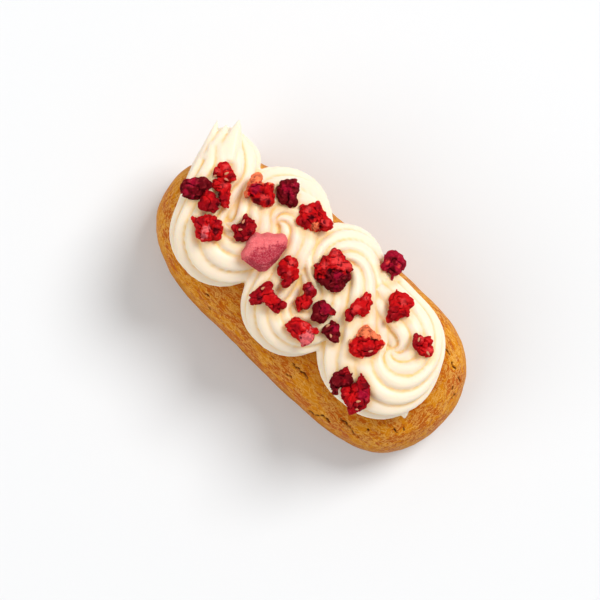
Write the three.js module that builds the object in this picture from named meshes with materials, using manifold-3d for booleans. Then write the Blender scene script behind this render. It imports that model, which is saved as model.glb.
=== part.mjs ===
// Mini eclair: a choux bun, one piped rope of cream on top, and freeze-dried raspberry pieces.
// Millimetres, +Z up. The origin is the middle of the flat underside, and +X runs along the bun.

import * as THREE from 'three';
import { mergeVertices } from 'three/addons/utils/BufferGeometryUtils.js';
import Module from 'manifold-3d';

const wasm = await Module();
wasm.setup();

// Choux bun
const BUN_LENGTH = 85;
const BUN_WIDTH_LEFT = 37.6;
const BUN_WIDTH_RIGHT = 39.6;
const BUN_HEIGHT = 25;
const BUN_WIDEST_AT = 9.5;
const BUN_SPINE = 46;               // length of the level line along the crown
const BUN_END_LEFT = 4.0;           // higher is a blunter end
const BUN_END_RIGHT = 5.4;
const BUN_DOME = 2.3;               // 2 is a round section, more is a fuller one
const BUN_CRAG = 0.35;              // height of the uneven baked surface
const BASE_ROUND = [[0, 3.4], [0.8, 1.9], [2.6, 0.9], [5.8, 0.2]]; // height, distance inside the outline
const BUN_SIDES = 60;
const BUN_DOME_STEPS = 9;
const CROWN_CAP = 0.12;             // share of the width that the last ring keeps

// Piped cream: one rope that winds round five turning points, from right to left
const ROPE_START = { x: 9.8, y: 12.6, half: 6.2 };
const TURNS = [                     // reach is how far the rope's outer edge swings, in even steps of the turn
  { x: 21.2, y: 4.5, radius: 7.4, side: -1, reach: [13.6, 12.9, 12.5, 15.2, 17.0, 17.4, 17.4] },
  { x: 0.6, y: 9.3, radius: 5.6, side: 1, reach: [11.4, 11.9, 12.2, 11.9, 10.8, 9.8, 8.8] },
  { x: -2.1, y: -2.1, radius: 6.0, side: -1, reach: [12.1, 12.4, 12.5, 13.0, 13.2, 13.2, 12.5] },
  { x: -17.1, y: 8.0, radius: 5.5, side: 1, reach: [12.6, 13.4, 14.0, 14.3, 14.0, 12.9, 11.7] },
  { x: -26.2, y: 1.0, radius: 5.6, side: -1, reach: [14.0, 14.6, 15.4, 15.9, 15.5, 13.3, 12.0] },
];
const TAIL = [                      // x, y, width to the left and the right, as the nozzle swings left and lifts
  [-34.6, 6.5, 6.4, 7.4],
  [-35.2, 10.0, 6.2, 8.6],
  [-36.6, 12.6, 5.6, 8.1],
  [-38.4, 14.6, 5.3, 6.2],
  [-40.6, 16.8, 5.0, 5.2],
];
const PINCH = 0.95;                 // share of the turn's radius that the inner ridges fill
const ROPE_RISE = 5.3;              // from the rope's middle to its top
const ROPE_DROP = 6.6;              // down to its underside, which the bun cuts away
const ROPE_SIT = 4.0;               // height of the rope's middle over the bun
const ROPE_LIFT = 1.6;              // each later stroke lies a little higher
const ROPE_SETTLE = 0.74;           // how closely the rope follows the dome
const RIDGES = 14;
const GROOVE = 0.15;                // depth of the star nozzle's grooves, as a share of the radius
const START_TAPER = [0.9];           // size of the rope at its first station
const END_TAPER = [0.42, 0.85];      // size of the rope at its last stations, from the end back
const ARC_STEP = THREE.MathUtils.degToRad(18);
const STRAIGHT_STEP = 3.2;
const RUN_STATIONS = 9;             // stations in each length that the rope is joined from
const TUCKED_END = 0.93;            // a length's end is tucked this much inside the next
const TAIL_PEAKS = [
  { tip: [-43.2, 16.5, 28.4], foot: [-39.6, 11.0, 28.2], radius: 2.8 },
  { tip: [-39.5, 20.0, 29.6], foot: [-37.6, 13.4, 29.2], radius: 3.0 },
];
const PEAK_PROFILE = [[0, 0.9], [0.3, 0.82], [0.6, 0.5], [0.85, 0.2]]; // share of its length and radius
const PEAK_SIDES = 10;

// Freeze-dried raspberry pieces: x, y, size along and across, turn of the long axis in degrees
const RASPBERRIES = [
  [8.5, 18.8, 6.3, 5.3, 100],
  [15.6, 12.2, 7.6, 6.0, 108],
  [26.1, 10.2, 6.4, 4.8, 165],
  [9.5, 6.5, 8.3, 4.2, 88],
  [16.2, 0.8, 8.0, 6.0, 58],
  [17.8, -8.1, 7.6, 4.5, 90],
  [22.8, -8.1, 9.1, 6.2, 115],
  [4.0, 0.1, 5.6, 5.2, 60],
  [9.1, -1.3, 5.4, 4.0, 155],
  [-1.1, 0.3, 7.4, 4.0, 120],
  [3.4, -6.0, 7.2, 5.4, 10],
  [-7.4, -5.8, 8.4, 5.8, 22],
  [-8.1, 1.9, 7.4, 5.2, 125],
  [-15.2, 1.7, 10.9, 7.9, 70],
  [-21.6, 1.9, 6.7, 5.0, 106],
  [-0.6, 8.6, 9.2, 8.0, 120],
  [-24.0, 10.9, 8.0, 6.2, 150],
  [-20.0, 14.9, 6.8, 5.6, 130],
  [-11.5, 14.7, 9.0, 6.6, 20],
  [-33.3, 8.8, 5.4, 4.4, 160],
  [-31.2, 4.9, 8.0, 4.2, 152],
  [-36.2, 1.4, 7.2, 5.6, 70],
  [-31.4, 1.4, 5.0, 4.6, 40],
  [-28.3, -3.1, 8.2, 6.2, 30],
];
const BERRY_THICKNESS = 0.74;       // share of the width across
const BERRY_SUNK = 0.3;             // share of the thickness that is below the cream's crests
const BERRY_CORE = 0.84;            // size of the flesh under the drupelets
const DRUPELET = 1.3;               // radius of one drupelet
const DRUPELET_SPACING = 2.1;
const BERRY_SIDES = 12;
const BERRY_RINGS = 6;

const GAP = 0.3;                    // clearance between neighbouring pieces
const WELD = 1e-3;                  // vertices closer than this are one

const smooth = THREE.MathUtils.smoothstep;
const lerp = THREE.MathUtils.lerp;

// A closed shell from a first point, rings that run the same way round, and a last point.
function closedShell(first, rings, last) {
  const sides = rings[0].length;
  const points = [first, ...rings.flat(), last];
  const end = points.length - 1;
  const top = end - sides;
  const faces = [];
  for (let i = 0; i < sides; i++) {
    const j = (i + 1) % sides;
    faces.push(0, 1 + j, 1 + i);
    for (let k = 0; k + 1 < rings.length; k++) {
      const a = 1 + k * sides;
      const b = a + sides;
      faces.push(a + i, a + j, b + j);
      faces.push(a + i, b + j, b + i);
    }
    faces.push(top + i, top + j, end);
  }
  return toSolid(new Float32Array(points.flatMap((p) => [p.x, p.y, p.z])), new Uint32Array(faces));
}

// The solid that a mesh with shared vertices makes.
function toSolid(vertProperties, triVerts) {
  return new wasm.Manifold(new wasm.Mesh({ numProp: 3, vertProperties, triVerts }));
}

function toGeometry(solid) {
  const { vertProperties, triVerts } = solid.getMesh();
  const geometry = new THREE.BufferGeometry();
  geometry.setAttribute('position', new THREE.BufferAttribute(vertProperties, 3));
  geometry.setIndex(new THREE.BufferAttribute(triVerts, 1));
  return geometry;
}

// The largest body of a solid, without the loose scraps and the pinched-off hollows that cuts leave.
function largestBody(solid) {
  const welded = mergeVertices(toGeometry(solid).toNonIndexed(), WELD);
  const clean = toSolid(welded.attributes.position.array, new Uint32Array(welded.index.array));
  return clean.decompose().reduce((best, body) => (body.volume() > best.volume() ? body : best));
}

function toMesh(solid, name, color, roughness) {
  const geometry = toGeometry(solid);
  geometry.computeVertexNormals();
  const material = new THREE.MeshStandardMaterial({ color, roughness, metalness: 0 });
  const mesh = new THREE.Mesh(geometry, material);
  mesh.name = name;
  return mesh;
}

// Half width of the bun's outline at x: a blunt-ended oval, fuller towards +X.
function bunHalfWidth(x) {
  const reach = Math.min(Math.abs(x) / (BUN_LENGTH / 2), 1);
  const blend = smooth(x, -16, 16);
  const half = lerp(BUN_WIDTH_LEFT, BUN_WIDTH_RIGHT, blend) / 2;
  const bluntness = lerp(BUN_END_LEFT, BUN_END_RIGHT, blend);
  return half * Math.sqrt(1 - reach ** bluntness);
}

// Height of the dome over (x, y), found by halving on the share of the half width.
function domeHeight(x, y) {
  const spine = BUN_SPINE / BUN_LENGTH;
  let inside = Math.max(0, (Math.abs(x) / (BUN_LENGTH / 2) - spine) / (1 - spine));
  let outside = 1;
  for (let i = 0; i < 30; i++) {
    const share = (inside + outside) / 2;
    const outlineX = x / (spine + share * (1 - spine));
    if (share * bunHalfWidth(outlineX) < Math.abs(y)) {
      inside = share;
    } else {
      outside = share;
    }
  }
  return domeRise(inside);
}

function domeRise(share) {
  const rise = BUN_HEIGHT - BUN_WIDEST_AT;
  return BUN_WIDEST_AT + rise * Math.sqrt(Math.max(0, 1 - share ** BUN_DOME));
}

// Low bumps and hollows that baking leaves, stretched along the bun.
function crag(x, y, z) {
  const long = Math.sin(0.31 * x + 0.9 * y + 1.3) * Math.sin(0.83 * y - 0.4 * z + 0.12 * x);
  const fine = Math.sin(0.72 * x - 0.5 * z + 2.1) * Math.cos(1.3 * y + 0.35 * x);
  return BUN_CRAG * (0.6 * long + 0.4 * fine);
}

function chouxBun(grow = 0) {
  const halfLength = BUN_LENGTH / 2;
  const spine = BUN_SPINE / BUN_LENGTH;
  const outline = [];
  for (let i = 0; i < BUN_SIDES; i++) {
    const angle = (2 * Math.PI * i) / BUN_SIDES;
    // equal steps would crowd the long sides, so the sine is sharpened for the blunt ends
    const along = Math.sign(Math.cos(angle)) * Math.abs(Math.cos(angle)) ** 0.62;
    const x = halfLength * along;
    outline.push([x, Math.sign(Math.sin(angle)) * bunHalfWidth(x)]);
  }
  const rings = BASE_ROUND.map(([height, inset]) => outline.map(([x, y]) => {
    const away = Math.hypot(x - x * spine, y) || 1;
    const share = 1 - (inset - grow) / away;
    return new THREE.Vector3(x * (spine + (1 - spine) * share), y * share, height - (height ? 0 : grow));
  }));
  for (let k = 0; k <= BUN_DOME_STEPS; k++) {
    const share = Math.cos((k / BUN_DOME_STEPS) * Math.acos(CROWN_CAP));
    rings.push(outline.map(([x, y]) => {
      const away = Math.hypot(x - x * spine, y) || 1;
      const wide = share + grow / away;
      const point = new THREE.Vector3(x * (spine + (1 - spine) * wide), y * wide, domeRise(share) + grow);
      const bump = crag(point.x, point.y, point.z);
      point.x += (bump * (x - x * spine)) / away * share;
      point.y += (bump * y) / away * share;
      point.z += bump * (1 - share);
      return point;
    }));
  }
  const foot = new THREE.Vector3(0, 0, -grow);
  return closedShell(foot, rings, new THREE.Vector3(0, 0, BUN_HEIGHT + grow + crag(0, 0, BUN_HEIGHT)));
}

// Heading and end points of the straight stroke that leaves one turn and meets the next.
function stroke(from, to) {
  const away = Math.hypot(to.x - from.x, to.y - from.y);
  const lean = Math.asin((to.side * to.radius - from.side * from.radius) / away);
  const heading = Math.atan2(to.y - from.y, to.x - from.x) - lean;
  return { heading, leave: onTurn(from, heading), meet: onTurn(to, heading) };
}

// Point of a turn's circle where the rope runs with the given heading.
function onTurn(turn, heading) {
  const offset = turn.side * turn.radius;
  return { x: turn.x + offset * Math.sin(heading), y: turn.y - offset * Math.cos(heading) };
}

// Value at a share of the way through a list of evenly spaced values.
function alongList(values, share) {
  const place = share * (values.length - 1);
  const i = Math.min(Math.floor(place), values.length - 2);
  return lerp(values[i], values[i + 1], place - i);
}

// Stations of the rope: place, heading and half width to the left and the right.
function ropeStations() {
  const start = { x: ROPE_START.x, y: ROPE_START.y, radius: 0, side: 1 };
  const stops = [start, ...TURNS, { x: TAIL[0][0], y: TAIL[0][1], radius: 0, side: 1 }];
  const strokes = stops.slice(1).map((stop, i) => stroke(stops[i], stop));
  const stations = [{ ...strokes[0].leave, heading: strokes[0].heading, left: ROPE_START.half, right: ROPE_START.half }];
  TURNS.forEach((turn, i) => {
    const headingIn = strokes[i].heading;
    let swing = strokes[i + 1].heading - headingIn;
    while (turn.side * swing < 0) swing += turn.side * 2 * Math.PI;
    while (turn.side * swing > 2 * Math.PI) swing -= turn.side * 2 * Math.PI;
    const steps = Math.ceil(Math.abs(swing) / ARC_STEP);
    for (let k = 0; k <= steps; k++) {
      const share = k / steps;
      const heading = headingIn + swing * share;
      const inner = PINCH * turn.radius;
      const outer = alongList(turn.reach, share) - turn.radius;
      const [left, right] = turn.side > 0 ? [inner, outer] : [outer, inner];
      stations.push({ ...onTurn(turn, heading), heading, left, right });
    }
  });
  TAIL.forEach(([x, y, left, right], i) => {
    const [nextX, nextY] = TAIL[Math.min(i + 1, TAIL.length - 1)];
    const [beforeX, beforeY] = i ? TAIL[i - 1] : [stations.at(-1).x, stations.at(-1).y];
    stations.push({ x, y, heading: Math.atan2(nextY - beforeY, nextX - beforeX), left, right });
  });
  return fillStrokes(stations);
}

// Extra stations along the straight strokes, with the widths eased from end to end.
function fillStrokes(stations) {
  const filled = [stations[0]];
  for (let i = 1; i < stations.length; i++) {
    const a = stations[i - 1];
    const b = stations[i];
    const steps = Math.max(1, Math.round(Math.hypot(b.x - a.x, b.y - a.y) / STRAIGHT_STEP));
    for (let k = 1; k < steps; k++) {
      const share = k / steps;
      const eased = smooth(share, 0, 1);
      filled.push({
        x: lerp(a.x, b.x, share),
        y: lerp(a.y, b.y, share),
        heading: b.heading,
        left: lerp(a.left, b.left, eased),
        right: lerp(a.right, b.right, eased),
      });
    }
    filled.push(b);
  }
  return filled;
}

// Star-shaped section: a crest and a groove for each tooth of the nozzle.
function starSection() {
  const pitch = (2 * Math.PI) / RIDGES;
  const section = [];
  for (let k = 0; k < RIDGES; k++) {
    section.push([(k + 0.5) * pitch, 1], [(k + 1) * pitch, 1 - GROOVE]);
  }
  return section;
}

// Height that the rope's underside follows at (x, y), a little flatter than the dome itself.
function restHeight(x, y) {
  return domeHeight(ROPE_SETTLE * x, ROPE_SETTLE * y);
}

function ropeRing(station, lift, scale, section) {
  const across = { x: -Math.sin(station.heading), y: Math.cos(station.heading) };
  return section.map(([angle, radius]) => {
    const side = Math.cos(angle) > 0 ? station.left : station.right;
    const out = side * radius * scale * Math.cos(angle);
    const rise = Math.sin(angle) > 0 ? ROPE_RISE : ROPE_DROP;
    const x = station.x + across.x * out;
    const y = station.y + across.y * out;
    return new THREE.Vector3(x, y, restHeight(x, y) + lift + rise * radius * scale * Math.sin(angle));
  });
}

// The rope is joined from short lengths, because its strokes lie against and over each other.
function creamRope(bun) {
  const stations = ropeStations();
  const section = starSection();
  const last = stations.length - 1;
  const lifts = stations.map((_, i) => ROPE_SIT + (ROPE_LIFT * i) / last);
  const scales = stations.map((_, i) => Math.min(START_TAPER[i] ?? 1, END_TAPER[last - i] ?? 1));
  const centre = (i) => {
    const { x, y } = stations[i];
    return new THREE.Vector3(x, y, restHeight(x, y) + lifts[i]);
  };
  let rope = null;
  for (let from = 0; from < last; from += RUN_STATIONS) {
    const to = Math.min(from + RUN_STATIONS + 1, last);
    const rings = [];
    for (let i = from; i <= to; i++) {
      const tucked = i === from + RUN_STATIONS + 1 ? TUCKED_END : 1;
      rings.push(ropeRing(stations[i], lifts[i], scales[i] * tucked, section));
    }
    const length = closedShell(centre(from), rings, centre(to));
    rope = rope ? rope.add(length) : length;
  }
  for (const peak of TAIL_PEAKS) {
    rope = rope.add(tornPeak(peak));
  }
  return largestBody(rope.subtract(bun));
}

// A peak that the nozzle pulls out as it is lifted off: a lean cone on a round foot.
function tornPeak({ tip, foot, radius }) {
  const tipPoint = new THREE.Vector3(...tip);
  const footPoint = new THREE.Vector3(...foot);
  const axis = tipPoint.clone().sub(footPoint);
  const turn = new THREE.Quaternion().setFromUnitVectors(new THREE.Vector3(0, 0, 1), axis.clone().normalize());
  const rings = PEAK_PROFILE.map(([along, wide]) => {
    const ring = [];
    for (let i = 0; i < PEAK_SIDES; i++) {
      const angle = (2 * Math.PI * i) / PEAK_SIDES;
      const point = new THREE.Vector3(Math.cos(angle), Math.sin(angle), 0).multiplyScalar(radius * wide);
      ring.push(point.applyQuaternion(turn).add(footPoint).addScaledVector(axis, along));
    }
    return ring;
  });
  return closedShell(footPoint.addScaledVector(axis, -0.1), rings, tipPoint);
}

// Seeded draw between 0 and 1, the same on every run.
function seededDraw(seed) {
  let state = seed * 2654435761 % 4294967296;
  return () => {
    state = (1664525 * state + 1013904223) % 4294967296;
    return state / 4294967296;
  };
}

// Drupelets spread evenly over the flesh, each nudged and sized a little differently.
function drupelets(half, draw) {
  const area = 4 * Math.PI * half.x * half.y;
  const count = Math.max(8, Math.round(area / (DRUPELET_SPACING ** 2)));
  const bumps = [];
  for (let i = 0; i < count; i++) {
    const z = 1 - (2 * i + 1) / count;
    const angle = i * Math.PI * (3 - Math.sqrt(5)) + draw() * 0.5;
    const flat = Math.sqrt(1 - z * z);
    const place = new THREE.Vector3(flat * Math.cos(angle), flat * Math.sin(angle), z).multiply(half);
    const radius = Math.min(DRUPELET, 0.6 * half.z) * (0.75 + 0.45 * draw());
    place.setLength(place.length() - radius * (0.7 + 0.45 * draw()));
    bumps.push({ place, radius });
  }
  return bumps;
}

// Distance from the middle of a piece to its surface along a direction.
function berryRadius(direction, half, bumps) {
  const core = BERRY_CORE / direction.clone().divide(half).length();
  return bumps.reduce((reach, { place, radius }) => {
    const along = direction.dot(place);
    const rest = along * along - place.lengthSq() + radius * radius;
    return rest > 0 ? Math.max(reach, along + Math.sqrt(rest)) : reach;
  }, core);
}

function raspberryPiece(row, index, middle, grow = 0) {
  const [, , length, width, turn] = row;
  const half = new THREE.Vector3(length, width, width * BERRY_THICKNESS).multiplyScalar(0.5);
  const bumps = drupelets(half, seededDraw(index + 3));
  const point = (direction) => {
    const reach = berryRadius(direction, half, bumps) + grow;
    const local = direction.clone().multiplyScalar(reach);
    return local.applyAxisAngle(new THREE.Vector3(0, 0, 1), THREE.MathUtils.degToRad(turn)).add(middle);
  };
  const rings = [];
  for (let k = 1; k <= BERRY_RINGS; k++) {
    const tilt = Math.PI * (1 - k / (BERRY_RINGS + 1));
    rings.push(Array.from({ length: BERRY_SIDES }, (_, i) => {
      const angle = (2 * Math.PI * (i + 0.5 * (k % 2))) / BERRY_SIDES;
      const flat = Math.sin(tilt);
      return point(new THREE.Vector3(flat * Math.cos(angle), flat * Math.sin(angle), Math.cos(tilt)));
    }));
  }
  return closedShell(point(new THREE.Vector3(0, 0, -1)), rings, point(new THREE.Vector3(0, 0, 1)));
}

// Height of the cream's crests under a piece.
function creamTop(creamMesh, x, y, radius) {
  const ray = new THREE.Raycaster();
  const down = new THREE.Vector3(0, 0, -1);
  const tops = [];
  for (let k = 0; k < 16; k++) {
    const angle = (Math.PI * k) / 4;
    const away = k < 8 ? radius : 2 * radius;
    const from = new THREE.Vector3(x + away * Math.cos(angle), y + away * Math.sin(angle), 100);
    ray.set(from, down);
    const [hit] = ray.intersectObject(creamMesh);
    if (hit) tops.push(hit.point.z);
  }
  tops.sort((a, b) => b - a);
  return tops[Math.floor(tops.length / 5)];
}

const model = new THREE.Group();
model.add(toMesh(chouxBun(), 'choux_bun', 0xc07f35, 0.7));

const cream = creamRope(chouxBun(GAP));
const creamMesh = toMesh(cream, 'cream_rope', 0xf9efd6, 0.45);
model.add(creamMesh);

const creamRaised = cream.add(cream.translate([0, 0, GAP]));
const placed = [];
RASPBERRIES.forEach((row, index) => {
  const [x, y, length, width] = row;
  const thickness = width * BERRY_THICKNESS;
  const top = creamTop(creamMesh, x, y, width * 0.28);
  const middle = new THREE.Vector3(x, y, top + thickness * (0.5 - BERRY_SUNK));
  let piece = raspberryPiece(row, index, middle).subtract(creamRaised);
  for (const other of placed) {
    if (Math.hypot(other.middle.x - x, other.middle.y - y) < (length + other.row[2]) / 2 + 1) {
      piece = piece.subtract(raspberryPiece(other.row, other.index, other.middle, GAP));
    }
  }
  placed.push({ row, index, middle });
  model.add(toMesh(largestBody(piece), `raspberry_${index + 1}`, 0xb3182c, 0.85));
});

export default model;
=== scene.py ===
# A mini eclair seen from straight above: a choux bun, one piped rope of cream, and bits of dried raspberry.
# Lengths are in metres, in the part's own frame: +X along the bun, +Z up, the underside at z = 0.

import math
import random

import bpy
import numpy as np
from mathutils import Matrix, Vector
from mathutils.bvhtree import BVHTree
from mathutils.kdtree import KDTree


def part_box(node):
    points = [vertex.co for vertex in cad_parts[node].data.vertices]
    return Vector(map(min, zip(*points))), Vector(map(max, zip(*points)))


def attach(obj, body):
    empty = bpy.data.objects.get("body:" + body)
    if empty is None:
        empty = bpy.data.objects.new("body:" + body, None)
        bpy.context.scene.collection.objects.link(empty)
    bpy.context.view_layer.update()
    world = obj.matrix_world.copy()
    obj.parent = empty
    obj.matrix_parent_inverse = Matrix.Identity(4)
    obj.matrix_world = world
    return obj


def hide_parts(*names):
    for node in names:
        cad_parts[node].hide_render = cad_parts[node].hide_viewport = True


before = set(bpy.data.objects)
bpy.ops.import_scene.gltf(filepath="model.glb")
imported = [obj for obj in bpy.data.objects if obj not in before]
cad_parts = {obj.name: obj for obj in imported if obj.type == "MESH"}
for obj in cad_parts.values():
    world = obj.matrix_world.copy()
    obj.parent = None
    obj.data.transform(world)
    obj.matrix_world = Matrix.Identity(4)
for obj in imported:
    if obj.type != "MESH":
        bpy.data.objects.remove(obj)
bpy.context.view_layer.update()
MM = 0.001

# Camera
# It hangs 0.7 m over the eclair and looks straight down, turned so that the bun runs across the frame from
# the upper left to the lower right.
CAMERA_HEIGHT = 700 * MM
CAMERA_OVER = (-1.59 * MM, -1.17 * MM)
CAMERA_TURN = math.radians(42.3)
FRAME_WIDTH = 140.7 * MM           # width of what the frame shows at the bun's widest level
WIDEST_LEVEL = 9.5 * MM

lens = bpy.data.cameras.new("camera")
lens.sensor_width = 36
lens.lens = lens.sensor_width * (CAMERA_HEIGHT - WIDEST_LEVEL) / FRAME_WIDTH
lens.clip_start = 0.05
lens.clip_end = 10
camera = bpy.data.objects.new("camera", lens)
camera.location = (*CAMERA_OVER, CAMERA_HEIGHT)
camera.rotation_euler = (0, 0, CAMERA_TURN)
bpy.context.scene.collection.objects.link(camera)
bpy.context.scene.camera = camera


# Floor and light
# A pale matt floor under a wide, soft light from the far side of the bun, with white light all round, so that
# the shadow is broad and falls to the near side.
class Wire:
    """A node socket that sums, products and other nodes can be built on."""

    def __init__(self, tree, socket=None):
        self.tree = tree
        self.socket = socket

    def node(self, kind, settings=None, sockets=None, output=0):
        """One output of a new node, whose settings are set before its sockets' values and links."""
        made = self.tree.nodes.new(kind)
        for name, value in (settings or {}).items():
            setattr(made, name, value)
        for key, value in (sockets or {}).items():
            target = made.inputs[key]
            if isinstance(value, Wire):
                self.tree.links.new(value.socket, target)
            else:
                target.default_value = value
        return Wire(self.tree, made.outputs[output] if made.outputs else None)

    def maths(self, operation, *values):
        return self.node("ShaderNodeMath", {"operation": operation}, dict(enumerate(values)))

    def vector(self, operation, *values):
        return self.node("ShaderNodeVectorMath", {"operation": operation}, dict(enumerate(values)))

    def __add__(self, other):
        return self.maths("ADD", self, other)

    def __radd__(self, other):
        return self.maths("ADD", other, self)

    def __sub__(self, other):
        return self.maths("SUBTRACT", self, other)

    def __rsub__(self, other):
        return self.maths("SUBTRACT", other, self)

    def __mul__(self, other):
        return self.maths("MULTIPLY", self, other)

    def __rmul__(self, other):
        return self.maths("MULTIPLY", other, self)

    def __truediv__(self, other):
        return self.maths("DIVIDE", self, other)

    def __rtruediv__(self, other):
        return self.maths("DIVIDE", other, self)

    def __abs__(self):
        return self.maths("ABSOLUTE", self)

    def axes(self):
        """The x, y and z of a vector."""
        split = self.node("ShaderNodeSeparateXYZ", {}, {0: self})
        return [Wire(self.tree, part) for part in split.socket.node.outputs]

    def ease(self, low, high, start=0.0, end=1.0):
        """The value eased from start to end as it goes from low to high."""
        spans = {0: self, 1: low, 2: high, 3: start, 4: end}
        return self.node("ShaderNodeMapRange", {"interpolation_type": "SMOOTHSTEP"}, spans)

    def mix(self, first, second):
        """The first colour where this value is 0, and the second where it is 1."""
        colours = {0: self, 6: first, 7: second}
        return self.node("ShaderNodeMix", {"data_type": "RGBA"}, colours, output=2)


def new_material(name):
    """A material and a wire in its emptied tree."""
    material = bpy.data.materials.new(name)
    material.use_nodes = True
    material.node_tree.nodes.clear()
    return material, Wire(material.node_tree)


def finish_material(wire, looks):
    """Ends a material's tree in a surface with these looks."""
    surface = wire.node("ShaderNodeBsdfPrincipled", {}, looks)
    wire.node("ShaderNodeOutputMaterial", {}, {"Surface": surface})


def mesh_object(name, mesh):
    made = bpy.data.objects.new(name, mesh)
    bpy.context.scene.collection.objects.link(made)
    return made


FLOOR_HALF = 1.5
FLOOR_COLOUR = (0.785, 0.81, 0.84, 1)
ROOM_COLOUR = (1, 0.975, 0.945, 1)
ROOM_STRENGTH = 0.45
LIGHTS = {                          # place, width, power and colour of each round, soft light
    "window": ((0.3, 2.2, 2.6), 1.5, 90, (1, 0.985, 0.965)),
    "bounce": ((-1.2, -1.6, 2.2), 2.6, 32, (1, 0.965, 0.925)),
}
LIT_POINT = Vector((0, 0, 0.02))

floor_mesh = bpy.data.meshes.new("floor")
floor_corners = [(x * FLOOR_HALF, y * FLOOR_HALF, 0) for x, y in ((-1, -1), (1, -1), (1, 1), (-1, 1))]
floor_mesh.from_pydata(floor_corners, [], [(0, 1, 2, 3)])
floor = mesh_object("floor", floor_mesh)
floor_finish, floor_wire = new_material("pale_floor")
finish_material(floor_wire, {"Base Color": FLOOR_COLOUR, "Roughness": 0.8, "Specular IOR Level": 0.2})
floor_mesh.materials.append(floor_finish)

for light_name, (place, width, power, colour) in LIGHTS.items():
    light = bpy.data.lights.new(light_name, "AREA")
    light.shape = "DISK"
    light.size = width
    light.energy = power
    light.color = colour
    lamp = bpy.data.objects.new(light_name, light)
    lamp.location = place
    lamp.rotation_euler = (LIT_POINT - Vector(place)).to_track_quat("-Z", "Y").to_euler()
    bpy.context.scene.collection.objects.link(lamp)

world = bpy.data.worlds.new("room")
bpy.context.scene.world = world
world.use_nodes = True
background = world.node_tree.nodes["Background"]
background.inputs["Color"].default_value = ROOM_COLOUR
background.inputs["Strength"].default_value = ROOM_STRENGTH
bpy.context.scene.view_settings.view_transform = "Standard"


# Choux bun
# A finger of choux paste, piped and baked until it puffs up: an oval bun with a flat base, a full dome and a
# thin, dry crust that is amber and finely wrinkled on top and paler down its sides.
BUN_LENGTH = 85 * MM
BUN_WIDTHS = (37.6 * MM, 39.6 * MM)
BUN_HEIGHT = 25 * MM
BUN_SPINE = 46 / 85                 # share of the length that the level crown takes
BUN_ENDS = (4.0, 5.4)               # bluntness of the left and the right end
BUN_TAPER = 16 * MM                 # the width changes within this much of the middle
BUN_DOME = 2.3
BASE_ROUND = 3.4 * MM
BASE_ROLL = (1.4, 1.5)              # how sharply the side rolls under, inwards and downwards
BUN_SIDES = 880
END_CROWDING = 0.62                 # below 1, more of the sides' points lie round the blunt ends
BASE_STEPS = 14
DOME_STEPS = 96
DOME_CROWDING = 1.25                # above 1, more of the rings lie at the steep foot of the dome
CROWN_GAP = 0.03                    # share of the way out at which the last ring lies
HALVINGS = 24
CRUST_SWELL = 0.45 * MM
CRUST_WRINKLE = 0.14 * MM
DRAWN_ALONG = (0.3, 1.15, 1.0)      # the crust is drawn out along the sides as it rises
DRAWN_ROUND = (1.15, 0.35, 1.0)     # and round the ends
END_ZONE = (31, 39)                 # where along the bun, in millimetres, the one gives way to the other
FLAT_BASE = (0.0, 3.0)              # the crust's relief dies out over these heights, in millimetres
CRUST_TAN = (0.66, 0.230, 0.003, 1)
CRUST_GLAZED = (0.50, 0.105, 0.001, 1)
CRUST_DRY = (0.86, 0.47, 0.100, 1)
CRUST_FLECK = (0.36, 0.060, 0.001, 1)
CRUST_SIDE = (0.62, 0.250, 0.030, 1)
# painted shade: darker crust on the near side of the bun, where the shadow falls
CRUST_SHADED_SIDE = (0.38, 0.105, 0.001, 1)
# painted shade in the crust's dents
CRUST_DENT_SHADE = (0.33, 0.065, 0.001, 1)
# painted shadow of the cream on the crust beside it
CRUST_CREAM_SHADOW = (0.36, 0.085, 0.001, 1)
CRUST_SPLIT = (0.13, 0.030, 0.001, 1)
CRACK_DEPTH = 0.5 * MM
CRACK_FLANK = 1.6                   # above 1, so a crack has a flat floor between its sloping edges
CRACK_NARROWING = 0.24              # how far its width wavers, as a share
CRACK_LOWEST = 4                    # no crack below this height, in millimetres
CRACK_SEED = 5
CRACKS = [                          # both ends and half the width of each crack in the crust, in millimetres
    (7.2, -13.1, 9.0, -13.3, 0.22),
    (9.2, -13.1, 11.8, -13.4, 0.26),
    (7.5, -15.9, 9.1, -16.1, 0.18),
    (2.2, -15.4, 3.4, -15.5, 0.15),
    (23.9, -15.0, 25.7, -15.2, 0.24),
    (25.7, -15.2, 30.0, -15.7, 0.10),
    (20.1, -17.7, 22.4, -17.2, 0.26),
    (17.6, -18.8, 19.7, -18.4, 0.22),
    (30.6, 13.1, 32.6, 12.9, 0.18),
    (34.3, 11.9, 35.8, 11.2, 0.24),
    (37.8, 10.5, 38.6, 9.8, 0.16),
    (39.7, 6.8, 39.9, 5.8, 0.20),
    (38.3, 7.8, 38.5, 7.4, 0.20),
    (36.1, -7.2, 36.4, -7.3, 0.28),
    (34.6, -8.7, 35.8, -8.6, 0.20),
    (30.2, -12.9, 30.4, -12.8, 0.26),
    (-18.6, -14.8, -17.9, -14.9, 0.20),
    (-16.2, -16.8, -15.5, -16.9, 0.16),
]


def ease(value, low, high):
    """The values eased from 0 to 1 as they go from low to high."""
    share = np.clip((value - low) / (high - low), 0, 1)
    return share * share * (3 - 2 * share)


def bun_half_width(x):
    """Half width of the bun's outline at x, for a number or an array."""
    reach = np.minimum(np.abs(x) / (BUN_LENGTH / 2), 1)
    blend = ease(x, -BUN_TAPER, BUN_TAPER)
    half = (BUN_WIDTHS[0] + (BUN_WIDTHS[1] - BUN_WIDTHS[0]) * blend) / 2
    bluntness = BUN_ENDS[0] + (BUN_ENDS[1] - BUN_ENDS[0]) * blend
    return half * np.sqrt(1 - reach ** bluntness)


def dome_rise(share):
    """Height of the dome at a share of the way out from the level crown."""
    return WIDEST_LEVEL + (BUN_HEIGHT - WIDEST_LEVEL) * np.sqrt(np.maximum(0, 1 - share ** BUN_DOME))


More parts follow.
